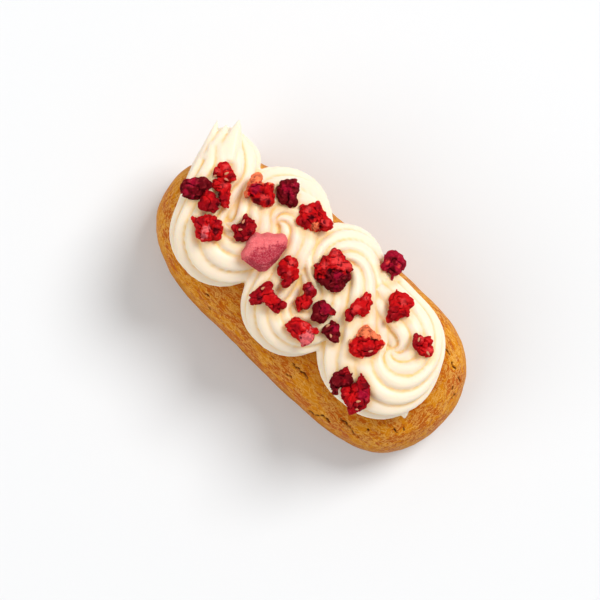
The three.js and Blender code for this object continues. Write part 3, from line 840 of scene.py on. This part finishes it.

# Each piece is one or more bits, with the flesh and the outline of each, and then its patches of other flesh,
# some of them painted highlights and painted shade, as x, y and radius. Places are in millimetres, as the
# camera sees them at the bun's widest level.
PIECES = [
    ([(MAGENTA, [(6.1, 21.3), (7.0, 22.6), (9.0, 22.9), (10.6, 22.2), (11.6, 20.4), (11.7, 19.1),
         (11.3, 18.0), (11.4, 16.5), (10.2, 17.0), (8.0, 16.7), (6.8, 17.4), (6.9, 18.8), (6.2, 20.0)])],
     [(DARK, 9.6, 18.4, 1.2), (DARK, 8.4, 20.6, 0.9), (LIT_RED_HIGHLIGHT, 7.6, 19.3, 0.6), (LIT_RED_HIGHLIGHT, 10.2, 20.2, 0.5)]),
    ([(BRIGHT, [(13.1, 16.2), (15.0, 16.1), (16.2, 16.8), (17.8, 16.9), (18.8, 16.1), (18.9, 14.8),
         (19.8, 13.0), (18.8, 12.3), (18.4, 10.9), (17.1, 8.9), (16.4, 9.5), (15.4, 11.1), (13.7, 12.6),
         (13.2, 14.6)])],
     [(CRIMSON, 16.9, 11.0, 1.9), (CRIMSON, 19.0, 12.9, 1.0), (LIT_RED_HIGHLIGHT, 16.6, 14.8, 0.9)]),
    ([(CRIMSON, [(23.8, 11.0), (24.7, 11.9), (26.1, 12.0), (26.8, 11.0), (26.4, 8.8), (25.6, 8.8),
         (24.4, 9.4)]),
      (BRIGHT, [(25.9, 12.0), (26.9, 13.3), (27.8, 12.7), (28.2, 11.4), (29.0, 11.7), (29.9, 11.1),
         (30.2, 9.8), (29.3, 8.5), (28.0, 8.0), (26.8, 8.6), (26.2, 10.2)])],
     [(LIT_RED_HIGHLIGHT, 28.8, 10.6, 0.8), (LIT_RED_HIGHLIGHT, 25.6, 11.2, 0.6)]),
    ([(BRIGHT, [(8.7, 10.7), (9.7, 10.9), (11.3, 10.0), (11.5, 8.8), (12.2, 7.6), (12.2, 6.2),
         (11.3, 5.2), (8.5, 5.2), (8.0, 6.2), (8.2, 8.0), (8.7, 9.2)]),
      (CRIMSON, [(8.8, 5.6), (10.6, 5.6), (11.1, 4.3), (10.4, 3.0), (9.6, 2.4), (8.8, 2.8), (8.1, 3.6),
         (8.2, 4.5)])],
     [(LIT_RED_HIGHLIGHT, 9.5, 6.5, 0.9), (LIT_RED_HIGHLIGHT, 9.6, 9.6, 0.6)]),
    ([(ORANGE, [(13.6, 4.3), (14.2, 5.3), (15.2, 5.2), (15.9, 4.8), (17.8, 5.2), (18.6, 4.5), (17.6, 3.4),
         (15.5, 1.9), (14.0, 1.6), (13.7, 2.8)]),
      (BRIGHT, [(13.7, 1.9), (15.5, 2.6), (17.5, 4.0), (18.6, 4.6), (19.9, 4.8), (20.1, 2.6), (20.0, 0.8),
         (19.0, -0.8), (18.4, -1.5), (17.2, -2.0), (16.2, -2.7), (15.0, -2.2), (13.5, -0.9),
         (13.9, 0.5)])],
     [(CRIMSON, 18.8, 0.6, 1.5)]),
    ([(DARK, [(16.9, -5.0), (18.0, -4.8), (19.6, -5.9), (20.6, -7.0), (20.5, -8.0), (19.7, -9.2),
         (19.2, -10.3), (19.6, -11.6), (18.8, -12.4), (17.8, -12.2), (16.7, -11.2), (16.2, -9.9),
         (16.1, -8.2), (16.4, -6.4)])],
     [(CRIMSON, 17.5, -6.3, 0.9), (CRIMSON, 18.8, -8.3, 0.5)]),
    ([(CRIMSON, [(20.5, -4.3), (21.2, -4.0), (22.6, -4.1), (24.3, -5.5), (25.4, -6.3), (26.3, -7.7),
         (26.8, -9.6), (26.4, -11.4), (25.7, -12.5), (25.0, -13.1), (23.9, -12.4), (21.5, -11.8),
         (20.3, -11.0), (19.8, -10.0), (20.7, -8.4), (21.0, -6.6)])],
     [(BRIGHT, 22.0, -9.6, 2.0), (DARK, 23.3, -5.6, 0.9), (MAGENTA, 24.6, -7.6, 1.4)]),
    ([(DARK, [(1.5, 0.8), (2.1, 2.1), (2.8, 2.7), (4.2, 2.7), (5.3, 2.3), (6.5, 2.4), (7.1, 1.7),
         (6.3, 0.8), (6.1, -0.8), (5.8, -1.7), (4.9, -2.6), (3.9, -2.9), (3.0, -2.3), (2.2, -1.1),
         (1.5, 0.0)])],
     [(MAGENTA, 4.0, 1.5, 1.5), (CRIMSON, 6.2, 1.7, 0.8)]),
    ([(DARK, [(6.9, 0.2), (7.9, 1.0), (9.3, 0.6), (10.4, -0.2), (11.3, -1.5), (12.0, -2.5), (11.4, -3.0),
         (10.0, -3.1), (8.5, -3.5), (7.5, -3.4), (6.9, -2.6), (7.0, -1.2)])],
     [(MAGENTA, 9.0, -0.6, 0.9)]),
    ([(CRIMSON, [(-3.4, 2.2), (-3.0, 3.2), (-2.2, 3.9), (-1.6, 3.4), (-0.2, 3.3), (0.3, 2.2), (0.2, 1.0),
         (-1.6, 0.6), (-2.7, 1.1)]),
      (BRIGHT, [(-1.6, 1.2), (-0.4, 1.6), (0.6, 0.9), (1.1, -0.4), (1.0, -1.6), (0.3, -2.6), (0.0, -3.6),
         (-0.8, -3.0), (-1.8, -2.2), (-2.6, -1.2), (-2.0, -0.2)])],
     [(DARK, -1.5, 1.6, 0.9), (SHADED_PINK, -1.7, 2.6, 0.8)]),
    ([(BRIGHT, [(-0.1, -4.6), (1.2, -4.1), (3.5, -4.1), (5.1, -4.0), (5.4, -6.0), (4.6, -8.0),
         (2.6, -8.8), (1.2, -8.5), (-0.4, -7.8), (0.1, -6.6)]),
      (PINK, [(4.8, -4.0), (5.6, -3.1), (6.6, -3.7), (6.7, -5.0), (7.1, -6.2), (7.0, -7.4), (6.1, -8.9),
         (4.9, -8.4), (3.9, -7.6), (4.5, -6.0)])],
     [(BRIGHT, 6.0, -4.2, 1.0), (CRIMSON, 2.2, -6.7, 1.2), (LIT_RED_HIGHLIGHT, 3.0, -4.9, 0.9)]),
    ([(CRIMSON, [(-9.8, -3.0), (-9.0, -2.6), (-7.9, -3.5), (-7.5, -5.5), (-7.8, -8.2), (-8.7, -8.8),
         (-9.3, -9.6), (-10.4, -9.5), (-11.0, -8.3), (-11.0, -7.0), (-10.7, -5.2)]),
      (BRIGHT, [(-9.2, -4.6), (-7.6, -4.1), (-5.8, -4.6), (-4.4, -4.4), (-4.6, -7.0), (-6.4, -7.2),
         (-8.9, -6.8)]),
      (CRIMSON, [(-5.0, -4.7), (-3.5, -4.0), (-3.0, -4.6), (-3.2, -5.8), (-3.1, -7.2), (-4.0, -7.2),
         (-5.1, -6.9)])],
     [(DARK, -8.9, -7.2, 0.7)]),
    ([(BRIGHT, [(-11.5, 2.7), (-11.1, 4.3), (-10.4, 5.2), (-8.6, 5.7), (-7.6, 4.9), (-6.4, 3.7),
         (-5.4, 2.6), (-5.5, 0.9), (-7.9, 0.0), (-9.6, -0.1), (-10.9, 0.7), (-11.3, 1.8)]),
      (CRIMSON, [(-7.8, 1.6), (-5.6, 1.6), (-5.5, 0.2), (-6.0, -0.9), (-6.6, -1.7), (-7.6, -1.4),
         (-7.3, -0.2)])],
     [(LIT_RED_HIGHLIGHT, -8.9, 3.9, 1.0), (LIT_RED_HIGHLIGHT, -7.6, 1.7, 0.6), (CRIMSON, -9.4, 1.0, 1.2)]),
    ([(PINK, [(-20.2, 1.8), (-19.9, 3.6), (-18.6, 4.0), (-17.7, 5.4), (-16.3, 6.1), (-15.3, 7.3),
         (-14.3, 7.6), (-13.2, 7.1), (-12.4, 5.8), (-11.9, 2.0), (-12.2, -1.5), (-13.2, -2.5),
         (-15.5, -2.9), (-18.2, -3.1), (-19.1, -2.3), (-19.3, -0.6)])],
     [(SHADED_PINK, -12.9, 4.4, 1.8), (SHADED_PINK, -13.4, 1.4, 3.0), (SHADED_PINK, -15.4, -1.6, 3.2),
      (PINK, -18.6, -1.4, 1.4)]),
    ([(CRIMSON, [(-24.6, 5.3), (-23.2, 5.2), (-22.0, 5.5), (-20.8, 4.8), (-20.0, 4.0), (-20.4, 2.2),
         (-20.3, 0.6), (-20.9, -0.5), (-21.8, -1.1), (-23.0, -0.8), (-23.6, 0.2), (-24.8, 0.9),
         (-24.3, 2.4)])],
     [(DARK, -23.4, 2.8, 1.1), (DARK, -21.6, -0.2, 0.9), (DARK, -20.9, 2.4, 0.7)]),
    ([(DARK, [(-2.0, 10.0), (0.6, 10.9), (2.7, 11.2), (3.7, 10.6), (3.9, 8.8), (4.1, 7.6), (3.5, 6.2),
         (2.3, 5.1), (0.9, 5.1), (-1.2, 4.7), (-2.6, 5.1), (-3.2, 7.4)]),
      (BRIGHT, [(-4.0, 12.8), (-3.5, 13.6), (-2.5, 14.0), (-1.2, 13.4), (1.6, 13.1), (3.0, 12.4),
         (2.6, 10.9), (0.0, 9.4), (-1.2, 6.2), (-2.4, 5.0), (-3.6, 6.0), (-3.8, 7.0), (-4.6, 7.1),
         (-3.9, 8.0), (-4.0, 9.2), (-4.6, 10.2), (-3.9, 11.0)])],
     [(MAGENTA, 1.0, 9.0, 1.2), (MAGENTA, 3.0, 6.6, 0.9), (LIT_RED_HIGHLIGHT, 1.4, 12.1, 1.1),
      (LIT_RED_HIGHLIGHT, -1.4, 11.6, 1.2), (LIT_RED_HIGHLIGHT, -2.8, 8.8, 0.9), (LIT_RED_HIGHLIGHT, 0.2, 11.4, 1.0),
      (LIT_RED_HIGHLIGHT, -3.0, 12.6, 0.8), (DARK, -0.9, 8.3, 1.0), (PIT_SHADOW, -1.2, 8.6, 0.6)]),
    ([(ORANGE, [(-29.6, 13.1), (-29.2, 14.1), (-28.3, 14.3), (-27.0, 13.8), (-26.6, 11.8), (-26.4, 8.4),
         (-27.1, 7.7), (-28.2, 8.6), (-28.8, 10.2), (-29.0, 11.8)]),
      (BRIGHT, [(-27.0, 12.8), (-25.9, 14.2), (-24.4, 14.7), (-23.4, 13.8), (-22.2, 12.9), (-21.5, 11.8),
         (-21.3, 10.5), (-22.3, 9.1), (-23.6, 8.6), (-24.9, 8.3), (-26.5, 8.6), (-27.8, 9.2),
         (-28.3, 10.4), (-28.1, 11.7)])],
     [(MAGENTA, -27.0, 11.2, 1.4), (DARK, -24.6, 9.2, 1.1), (DARK, -22.6, 11.0, 0.8),
      (LIT_RED_HIGHLIGHT, -24.0, 11.0, 0.9)]),
    ([(DARK, [(-23.7, 15.9), (-23.1, 17.4), (-22.0, 18.5), (-21.2, 19.0), (-20.0, 18.7), (-19.0, 17.8),
         (-18.7, 16.4), (-17.6, 15.7), (-17.1, 14.9), (-17.7, 13.6), (-18.8, 12.8), (-20.8, 12.7),
         (-21.9, 13.1), (-22.4, 14.0), (-23.6, 14.8)])],
     [(MAGENTA, -21.5, 16.2, 1.3), (MAGENTA, -19.6, 15.8, 0.8), (MAGENTA, -20.6, 18.2, 0.6)]),
    ([(BRIGHT, [(-16.6, 15.1), (-16.3, 16.0), (-15.3, 16.4), (-15.0, 17.4), (-14.3, 18.0), (-14.0, 18.9),
         (-13.0, 18.8), (-11.9, 18.0), (-11.0, 18.4), (-10.1, 17.8), (-8.6, 17.4), (-7.4, 16.8),
         (-7.2, 15.8), (-7.9, 14.9), (-8.9, 14.5), (-9.5, 13.4), (-10.4, 12.6), (-12.0, 11.9),
         (-13.3, 11.8), (-14.0, 11.3), (-14.8, 12.0), (-15.1, 13.6), (-16.2, 14.2)])],
     [(ORANGE, -10.6, 13.9, 1.1), (DARK, -12.6, 15.0, 0.8), (CRIMSON, -13.0, 12.8, 1.3),
      (CRIMSON, -13.2, 18.0, 0.8), (LIT_RED_HIGHLIGHT, -14.4, 15.8, 0.9), (LIT_RED_HIGHLIGHT, -9.4, 16.2, 1.0)]),
    ([(BRIGHT, [(-37.3, 8.8), (-37.0, 10.0), (-36.5, 11.0), (-35.6, 11.4), (-34.5, 11.0), (-33.2, 10.6),
         (-32.0, 10.3), (-31.6, 9.5), (-32.4, 8.0), (-34.0, 7.5), (-35.2, 7.3), (-35.8, 6.6),
         (-36.5, 6.4), (-37.0, 7.2)])],
     [(CRIMSON, -33.0, 9.6, 1.0), (CRIMSON, -36.4, 7.2, 0.7), (LIT_RED_HIGHLIGHT, -35.4, 10.2, 0.7),
      (LIT_RED_HIGHLIGHT, -36.2, 8.4, 0.6)]),
    ([(BRIGHT, [(-35.6, 6.0), (-34.9, 7.3), (-33.6, 7.8), (-31.8, 7.7), (-31.0, 7.0), (-30.3, 5.7),
         (-29.2, 4.5), (-28.3, 3.4), (-29.1, 2.7), (-30.2, 2.9), (-31.8, 3.9), (-34.0, 4.9),
         (-35.2, 5.1)])],
     [(LIT_RED_HIGHLIGHT, -32.9, 6.8, 0.9), (CRIMSON, -30.9, 4.2, 1.3), (DARK, -32.4, 4.3, 0.7)]),
    ([(DARK, [(-40.5, 0.8), (-40.0, 2.2), (-39.2, 3.8), (-38.0, 4.9), (-36.5, 5.4), (-35.3, 5.2),
         (-34.8, 4.0), (-35.2, 1.8), (-35.0, 0.4), (-35.6, -0.7), (-37.0, -1.4), (-38.2, -1.6),
         (-39.4, -1.1), (-40.3, -0.5)])],
     [(MAGENTA, -38.9, 2.2, 1.4), (MAGENTA, -38.3, -0.6, 0.9), (MAGENTA, -36.3, 0.0, 0.5)]),
    ([(CRIMSON, [(-35.3, 3.5), (-34.0, 3.7), (-32.4, 3.4), (-30.9, 2.8), (-30.0, 1.9), (-30.1, 0.8),
         (-30.8, -0.2), (-32.0, -0.8), (-33.4, -1.0), (-34.6, -0.5), (-35.1, 0.6), (-35.6, 2.4)])],
     [(BRIGHT, -33.8, 2.0, 1.3), (DARK, -30.9, 2.4, 0.7)]),
    ([(BRIGHT, [(-33.5, -3.8), (-32.5, -3.0), (-31.6, -1.7), (-31.2, -0.6), (-30.0, -0.1), (-28.9, 0.0),
         (-27.6, 0.4), (-26.7, 0.0), (-25.9, -1.2), (-25.1, -2.2), (-25.1, -3.2), (-26.0, -4.4),
         (-26.6, -5.5), (-27.8, -6.6), (-28.6, -6.2), (-29.5, -6.7), (-30.3, -5.9), (-31.0, -5.1),
         (-32.4, -4.7)])],
     [(PINK, -29.2, -3.7, 0.9), (PINK, -28.4, -5.2, 0.8), (DARK, -27.1, -2.6, 0.9),
      (CRIMSON, -31.4, -3.4, 1.2), (CRIMSON, -28.2, -0.8, 1.0)]),
]
SUGARED = 14                        # the one block that is smooth, pink and grainy like sugar
CREST_LINES = {                     # the crest of a piece that breaks along an edge, where it has one
    14: [(-13.6, 5.6), (-14.2, 4.0), (-16.2, 2.6), (-17.8, 0.6)],
    12: [(-9.4, -4.0), (-9.4, -8.0)],
    21: [(-33.8, 6.4), (-30.0, 3.9)],
}


def raspberry_material():
    """Dry flesh in each piece's own tints, with painted shade in its creases, darker blotches, and dust with
    a painted highlight on its crests.
    """
    material, wire = new_material("dried_raspberry")
    place = object_place(wire)
    tint = painted(wire, "tint", "Color")
    sugar = painted(wire, "tint", "Alpha")
    hollow = painted(wire, "hollow")
    blotch = noise(place, Scale=0.7, Detail=4.0)
    grain = noise(place, Scale=4.0, Detail=4.0, Roughness=0.7)
    multiply = {"data_type": "RGBA", "blend_type": "MULTIPLY"}
    # painted shade for the creases, also used for random darker blotches
    shade_and_blotch = wire.node("ShaderNodeMix", multiply, {0: 1.0, 6: tint, 7: SHADE_AND_BLOTCH_DARKENING}, output=2)
    add = {"data_type": "RGBA", "blend_type": "ADD"}
    # painted highlight with a little dust, for the crests
    crest = wire.node("ShaderNodeMix", add, {0: 1.0, 6: tint, 7: CREST_HIGHLIGHT_AND_DUST}, output=2)
    highlight_and_dust = wire.maths("MAXIMUM", hollow.ease(0.1, 0.45, 1.0, 0.0) * 0.8, 0.08)
    colour = (highlight_and_dust * grain.ease(0.38, 0.62)).mix(tint, crest)
    # painted shade in the creases
    colour = (hollow.ease(0.5, 0.9) * (0.95 - sugar * 0.7)).mix(colour, shade_and_blotch)
    colour = (blotch.ease(0.50, 0.64) * (0.45 - sugar * 0.4)).mix(colour, shade_and_blotch)
    colour = (sugar * grain.ease(0.46, 0.62) * 0.4).mix(colour, SUGAR_GRAIN)
    finish_material(wire, {
        "Base Color": colour,
        "Roughness": grain.ease(0.3, 0.7, 0.6, 0.85),
        "Normal": bump(grain, 0.8, 0.12 * MM),
        "Subsurface Weight": 0.12,
        "Subsurface Radius": (1.0, 0.25, 0.2),
        "Subsurface Scale": 0.8 * MM,
        "Specular IOR Level": 0.04,
    })
    return material


def crumple_shape(material):
    """Geometry Nodes that raise drupelets, folds and fine crumples on a chunk, by the chunk's own seed."""
    shape = Shape("crumple", seed=0.0, **CRUMPLED)
    place = in_mm(shape.node("GeometryNodeInputPosition"))
    seed = shape.size("seed")
    seeded = {"noise_dimensions": "4D"}
    cell = {"Vector": place, "W": seed, "Scale": 1 / DRUPELET_SPACING, "Randomness": 0.9}
    cells = shape.node("ShaderNodeTexVoronoi", {"voronoi_dimensions": "4D", "feature": "F1"}, cell)
    domes = 1.0 - cells * cells * 2.2
    broad = noise(place, seeded, W=seed, Scale=0.42, Detail=1.0, Roughness=0.5)
    folds = 1.0 - abs(broad - 0.5).ease(0.0, 0.07)
    fine = noise(place, seeded, W=seed, Scale=1.2, Detail=3.0, Roughness=0.55)
    rise = (domes - 0.45) * shape.size("drupelet") - folds * shape.size("fold")
    rise = rise + (fine - 0.5) * 3.0 * shape.size("crumple") + shape.size("swell")
    shape.finish(shape.raised(rise), material)
    return shape


def nearer(level):
    """How much narrower the view is at a level than at the widest one."""
    return (CAMERA_HEIGHT - level) / (CAMERA_HEIGHT - WIDEST_LEVEL)


def from_view(x, y, level):
    """The place in metres, at a level, of a point that the camera sees at (x, y) mm at the widest level."""
    across, along = CAMERA_OVER
    return across + (x * MM - across) * nearer(level), along + (y * MM - along) * nearer(level)


def to_view(x, y, level):
    """Where the camera sees a place in metres, in millimetres at the widest level."""
    across, along = CAMERA_OVER
    return (across + (x - across) / nearer(level)) / MM, (along + (y - along) / nearer(level)) / MM


def nearest_on(line, x, y):
    """The point nearest to (x, y) on a line through one or more points."""
    here = Vector((x, y))
    best = Vector(line[0])
    for a, b in zip(line, line[1:]):
        a = Vector(a)
        way = Vector(b) - a
        share = min(max((here - a).dot(way) / way.length_squared, 0), 1)
        spot = a + way * share
        if (spot - here).length < (best - here).length:
            best = spot
    return best


def chunk_body(outline, crest, low, high, chance):
    """One angular bit of flesh in rings of facets, which rise from its outline to its crest."""
    jitter = 0.0 if crest else CHUNK_JITTER
    middle = [sum(point[k] for point in outline) / len(outline) for k in (0, 1)]
    rings = [[], [], [], []]
    for x, y in outline:
        inner = nearest_on(crest or [middle], x, y)
        # how far in, and how far up, each ring lies
        spots = [
            (0.20, 0.06),
            (0.0, 0.45 + chance.uniform(-0.12, 0.12)),
            (0.32 + chance.uniform(-jitter, jitter), 0.86 + chance.uniform(-jitter, jitter)),
            (0.92, 0.97 + chance.uniform(-jitter, 0.02)),
        ]
        for ring, (share, rise) in zip(rings, spots):
            level = low + (high - low) * rise
            across, along = from_view(x + (inner.x - x) * share, y + (inner.y - y) * share, level)
            ring.append(Vector((across, along, level)))
    base = sum(rings[0], Vector()) / len(outline)
    roof = sum(rings[-1], Vector()) / len(outline)
    return base, rings, roof


def inside_outline(outline, x, y):
    """Whether each of the points in the arrays x and y lies inside an outline."""
    within = np.zeros(len(x), bool)
    for (x1, y1), (x2, y2) in zip(outline, outline[1:] + outline[:1]):
        crosses = (y1 > y) != (y2 > y)
        if y1 != y2:
            within ^= crosses & (x < x1 + (x2 - x1) * (y - y1) / (y2 - y1))
    return within


def tint_piece(mesh, bits, patches, sugar):
    """Stores the flesh's colour over a piece, ragged where it changes, with how sugary it is as its alpha."""
    x, y = to_view(*vertex_values(mesh).T)
    ragged = 0.22 * np.sin(3.1 * x + 1.7 * np.sin(2.3 * y)) + 0.16 * np.sin(5.3 * y + 2.1 * np.sin(4.1 * x))
    colours = np.tile(bits[0][0], (len(x), 1))
    for flesh, outline in bits[1:]:
        colours[inside_outline(outline, x + ragged, y - ragged)] = flesh
    # some patches are painted highlights, painted shade or a painted shadow in a pit
    for flesh, patch_x, patch_y, radius in patches:
        far = np.hypot(x - patch_x, y - patch_y) * (1 + ragged)
        share = 1 - ease(far, 0.6 * radius, 1.15 * radius)
        colours = colours + np.outer(share, flesh) - share[:, None] * colours
    colours = np.column_stack([colours, np.full(len(colours), sugar)]).astype(np.float32)
    tint = mesh.color_attributes.new("tint", "FLOAT_COLOR", "POINT")
    tint.data.foreach_set("color", colours.ravel())


crumple_tree = crumple_shape(raspberry_material())
berries = []
for number, (bits, patches) in enumerate(PIECES, start=1):
    node = f"raspberry_{number}"
    low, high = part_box(node)
    chance = random.Random(number)
    crest = CREST_LINES.get(number)
    bodies = [chunk_body(outline, crest, low.z, high.z, chance) for _, outline in bits]
    piece = mesh_object(f"dried_{node}", mesh_from_rings(f"dried_{node}", bodies, triangles=True))
    fuse(piece, RASPBERRY_VOXEL, rounds=2)
    crumple_tree.on(piece, seed=float(number), **(SUGARY if number == SUGARED else {}))
    mesh = bake_modifiers(piece)
    store_hollows(mesh, rounds=7, depth=0.20 * MM)
    tint_piece(mesh, bits, patches, float(number == SUGARED))
    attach(piece, "root")
    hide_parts(node)
    berries.append(piece)


# painted shade: on the cream beside the pieces, and on the crust beside the cream, both moved towards the
# near side, where the shadows fall
NEAR_SKIP = 6                       # one vertex in this many is enough to measure from
NEAR_ENOUGH = 0.3 * MM
BERRY_SHADE_REACH = 2.0 * MM
CREAM_SHADOW_REACH = 8.0 * MM
BERRY_SHADE_SHIFT = Vector((0.3, -0.5, 0.0)) * MM
CREAM_SHADOW_SHIFT = Vector((0.0, -0.5, 0.0)) * MM


def store_nearness(mesh, name, pieces, shift, reach):
    """Stores how near each vertex is to the pieces, moved by shift: 1 beside one and 0 beyond reach."""
    places = []
    for piece in pieces:
        places.extend(vertex.co + shift for vertex in list(piece.data.vertices)[::NEAR_SKIP])
    tree = KDTree(len(places))
    for i, place in enumerate(places):
        tree.insert(place, i)
    tree.balance()
    away = np.array([tree.find(vertex.co)[2] for vertex in mesh.vertices])
    store(mesh, name, 1 - ease(away, NEAR_ENOUGH, reach))


store_nearness(cream_mesh, "berry_shade", berries, BERRY_SHADE_SHIFT, BERRY_SHADE_REACH)
store_nearness(bun_mesh, "cream_shadow", [cream], CREAM_SHADOW_SHIFT, CREAM_SHADOW_REACH)


# Seeds
# Small, hard seeds in a pale, woody husk. They show where a drupelet has torn open, and sit half sunk in the
# dry flesh that holds them.
SEED_LENGTH = 1.15 * MM
SEED_WIDTH = 0.54 * MM
SEED_TAPER = 0.7
SEED_PROUD = 0.05 * MM              # how far a seed's middle stands out of the flesh
SEED_LEVEL = 35 * MM
ABOVE_ALL = 100 * MM
HUSK = (0.55, 0.27, 0.11, 1)
HUSK_BLUSH = (0.58, 0.17, 0.12, 1)
SEEDS = [                           # x, y and turn of each seed that shows, placed as the pieces are
    (25.2, 10.7, 110), (29.0, 9.8, -15), (11.2, 4.8, 60), (18.7, 1.1, 55), (13.5, -0.5, 120),
    (24.5, -9.5, 50), (25.4, -11.2, 20), (9.4, -2.5, 155), (-9.8, -4.9, 70), (-23.7, 3.5, 100),
    (-22.9, 1.7, 50), (-34.2, 9.2, 70), (-33.3, 8.1, 10), (-35.8, 7.1, 60), (-34.0, 4.4, -25),
    (7.3, -1.2, 80),
]


def seed_material():
    """Pale, matt husk, blushed here and there by the juice."""
    material, wire = new_material("pale_seed")
    spots = noise(object_place(wire), Scale=2.2, Detail=3.0)
    finish_material(wire, {
        "Base Color": spots.ease(0.35, 0.65).mix(HUSK, HUSK_BLUSH),
        "Roughness": 0.5,
        "Normal": bump(spots, 0.5, 0.05 * MM),
    })
    return material


def seed_shape(material):
    """Geometry Nodes that set a drop-shaped seed on each point."""
    shape = Shape("seeds", length=SEED_LENGTH, width=SEED_WIDTH)
    seed = shape.node("GeometryNodeMeshIcoSphere", {}, {"Radius": 0.5, "Subdivisions": 3})
    x, y, z = shape.node("GeometryNodeInputPosition").axes()
    width = (1.0 - x * SEED_TAPER) * shape.size("width")
    drop = shape.node("ShaderNodeCombineXYZ", {}, {0: x * shape.size("length"), 1: y * width, 2: z * width})
    seed = shape.node("GeometryNodeSetPosition", {}, {"Geometry": seed, "Position": drop})
    turn = shape.node("ShaderNodeCombineXYZ", {}, {2: shape.named("turn")})
    strewn = {"Points": shape, "Instance": seed, "Rotation": turn}
    shape.finish(shape.node("GeometryNodeInstanceOnPoints", {}, strewn), material)
    return shape


def height_at(trees, x, y):
    """Height of the highest piece at (x, y), or None beside the pieces."""
    hits = [tree.ray_cast(Vector((x, y, ABOVE_ALL)), Vector((0, 0, -1)))[0] for tree in trees]
    return max((hit.z for hit in hits if hit), default=None)


trees = []
for piece in berries:
    corners = [vertex.co for vertex in piece.data.vertices]
    trees.append(BVHTree.FromPolygons(corners, [tuple(face.vertices) for face in piece.data.polygons]))
seed_points = []
seed_turns = []
for seen_x, seen_y, turn in SEEDS:
    x, y = from_view(seen_x, seen_y, SEED_LEVEL)
    height = height_at(trees, x, y)
    if height is not None:
        seed_points.append((x, y, height + SEED_PROUD))
        seed_turns.append(math.radians(turn))
seed_mesh = bpy.data.meshes.new("raspberry_seeds")
seed_mesh.from_pydata(seed_points, [], [])
store(seed_mesh, "turn", seed_turns)
seeds = mesh_object("raspberry_seeds", seed_mesh)
seed_shape(seed_material()).on(seeds)
bake_modifiers(seeds)
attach(seeds, "root")
